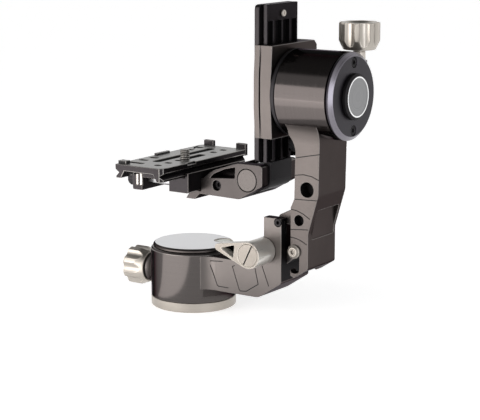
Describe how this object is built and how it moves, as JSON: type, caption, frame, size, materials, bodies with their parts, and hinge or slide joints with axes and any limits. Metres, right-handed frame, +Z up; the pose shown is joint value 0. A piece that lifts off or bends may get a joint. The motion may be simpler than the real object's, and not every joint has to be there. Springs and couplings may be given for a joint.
{
  "type": "gimbal tripod head",
  "caption": "Folding gimbal tripod head with a panning base, side arm, tilting rail and sliding quick release plate.",
  "frame": {"origin": "centre of the base's underside, on the pan axis", "axes": "+Z up along the pan axis, +X along the tilt axis from the base to the arm, +Y along the lens axis"},
  "size_m": [0.1857, 0.1065, 0.2143],
  "materials": {
    "gunmetal": "satin dark anodised",
    "black_anodised": "satin black anodised",
    "satin_silver": "satin, light turning marks",
    "pale_disc": "light brushed",
    "steel": "satin",
    "brass": "machined",
    "plastic": "matte black",
    "glass": "clear"
  },
  "bodies": {
    "base": {"base_ring": "satin_silver", "pan_spindle": "steel", "lower_pan_bearing": "steel", "upper_pan_bearing": "steel", "pan_spindle_nut": "steel"},
    "pan": {"pan_housing": "gunmetal", "pan_top_cap": "pale_disc", "bubble_level_cup": "pale_disc", "bubble_level_glass": "glass", "pan_brake_shoe": "brass", "fold_clamp_bolt": "steel", "fold_clamp_nut": "steel", "elbow_stop_screw": "black_anodised"},
    "pan_knob": {"pan_lock_knob": "satin_silver", "pan_lock_stud": "plastic"},
    "lever": {"fold_lever": "satin_silver", "fold_lever_screw": "satin_silver"},
    "fold_pivot": {"fold_pivot_bush": "steel", "fold_pivot_screw_near": "satin_silver", "fold_pivot_screw_far": "satin_silver"},
    "upright": {"upright_arm": "gunmetal", "tilt_end_cover": "gunmetal", "tilt_cover_badge": "black_anodised", "inner_tilt_bearing": "steel", "outer_tilt_bearing": "steel", "tilt_brake_plug": "brass", "tilt_lock_collar": "steel", "tilt_cover_screw_1": "black_anodised", "tilt_cover_screw_2": "black_anodised"},
    "tilt_knob": {"tilt_lock_knob": "satin_silver", "tilt_lock_stud": "plastic"},
    "tilt_carriage": {"tilt_shaft": "steel", "tilt_flange": "black_anodised", "rail_clamp_body": "gunmetal", "rail_clamp_screw_1": "steel", "rail_clamp_screw_2": "steel"},
    "rail_jaw": {"rail_clamp_jaw": "gunmetal"},
    "rail_knob": {"rail_clamp_knob": "black_anodised"},
    "rail": {"swing_rail": "black_anodised", "upper_stop_screw": "satin_silver", "rail_bumper": "black_anodised", "rail_foot": "black_anodised"},
    "platform": {"platform_bracket": "gunmetal", "platform_hinge_pin": "steel", "hinge_cap_near": "gunmetal", "hinge_cap_far": "gunmetal", "bracket_screw_near": "black_anodised", "bracket_screw_far": "black_anodised", "plate_clamp_body": "gunmetal", "plate_clamp_rod": "steel"},
    "plate_jaw": {"plate_clamp_jaw": "gunmetal", "jaw_pin_right": "satin_silver", "jaw_pin_left": "satin_silver"},
    "plate_knob": {"plate_clamp_knob": "black_anodised"},
    "plate": {"quick_release_plate": "black_anodised", "left_stop_tab": "black_anodised", "right_stop_tab": "black_anodised"},
    "camera_slider": {"camera_screw_washer": "steel"},
    "camera_thread": {"camera_screw": "satin_silver"}
  },
  "joints": [
    {"name": "pan_turn", "type": "hinge", "parent": "base", "child": "pan", "pos_m": [0, 0, 0], "axis": [0, 0, 1], "continuous": true},
    {"name": "pan_lock_turn", "type": "hinge", "parent": "pan", "child": "pan_knob", "pos_m": [-0.04, 0, 0.0215], "axis": [-1, 0, 0], "range_deg": [0, 360]},
    {"name": "fold_lever_turn", "type": "hinge", "parent": "pan", "child": "lever", "pos_m": [0.0713, -0.03, 0.0505], "axis": [0, 1, 0], "range_deg": [0, 100]},
    {"name": "arm_fold", "type": "hinge", "parent": "pan", "child": "fold_pivot", "pos_m": [0.0952, 0, 0.0526], "axis": [0, 1, 0], "range_deg": [0, 90]},
    {"name": "arm_lift", "type": "slide", "parent": "fold_pivot", "child": "upright", "axis": [0, 0, 1], "range_m": [0, 0.0115]},
    {"name": "tilt_lock_turn", "type": "hinge", "parent": "upright", "child": "tilt_knob", "pos_m": [0.1143, 0.031, 0.19], "axis": [0, 0, 1], "range_deg": [0, 360]},
    {"name": "tilt_turn", "type": "hinge", "parent": "upright", "child": "tilt_carriage", "pos_m": [0.1, 0, 0.1563], "axis": [1, 0, 0], "continuous": true},
    {"name": "rail_jaw_slide", "type": "slide", "parent": "tilt_carriage", "child": "rail_jaw", "axis": [0, 1, 0], "range_m": [0, 0.0015]},
    {"name": "rail_lock_turn", "type": "hinge", "parent": "rail_jaw", "child": "rail_knob", "pos_m": [0.07075, 0.035, 0.15765], "axis": [0, 1, 0], "range_deg": [0, 360]},
    {"name": "rail_slide", "type": "slide", "parent": "tilt_carriage", "child": "rail", "axis": [0, 0, 1], "range_m": [-0.017, 0.001]},
    {"name": "platform_fold", "type": "hinge", "parent": "rail", "child": "platform", "pos_m": [0.0596, 0, 0.0973], "axis": [0, 1, 0], "range_deg": [0, 60]},
    {"name": "plate_jaw_slide", "type": "slide", "parent": "platform", "child": "plate_jaw", "axis": [-1, 0, 0], "range_m": [0, 0.0015]},
    {"name": "plate_lock_turn", "type": "hinge", "parent": "plate_jaw", "child": "plate_knob", "pos_m": [-0.03, -0.027, 0.0912], "axis": [-1, 0, 0], "range_deg": [0, 360]},
    {"name": "plate_slide", "type": "slide", "parent": "platform", "child": "plate", "axis": [0, 1, 0], "range_m": [-0.025, 0.008]},
    {"name": "camera_screw_slide", "type": "slide", "parent": "plate", "child": "camera_slider", "axis": [0, 1, 0], "range_m": [0, 0.018]},
    {"name": "camera_screw_turn", "type": "hinge", "parent": "camera_slider", "child": "camera_thread", "pos_m": [0.0074, -0.0196, 0.1], "axis": [0, 0, 1], "continuous": true}
  ],
  "couplings": [
    {"joint": "arm_lift", "follows": "arm_fold", "m_per_rad": 0.007194},
    {"joint": "rail_lock_turn", "follows": "rail_jaw_slide", "rad_per_m": 4180},
    {"joint": "plate_lock_turn", "follows": "plate_jaw_slide", "rad_per_m": 4180}
  ]
}
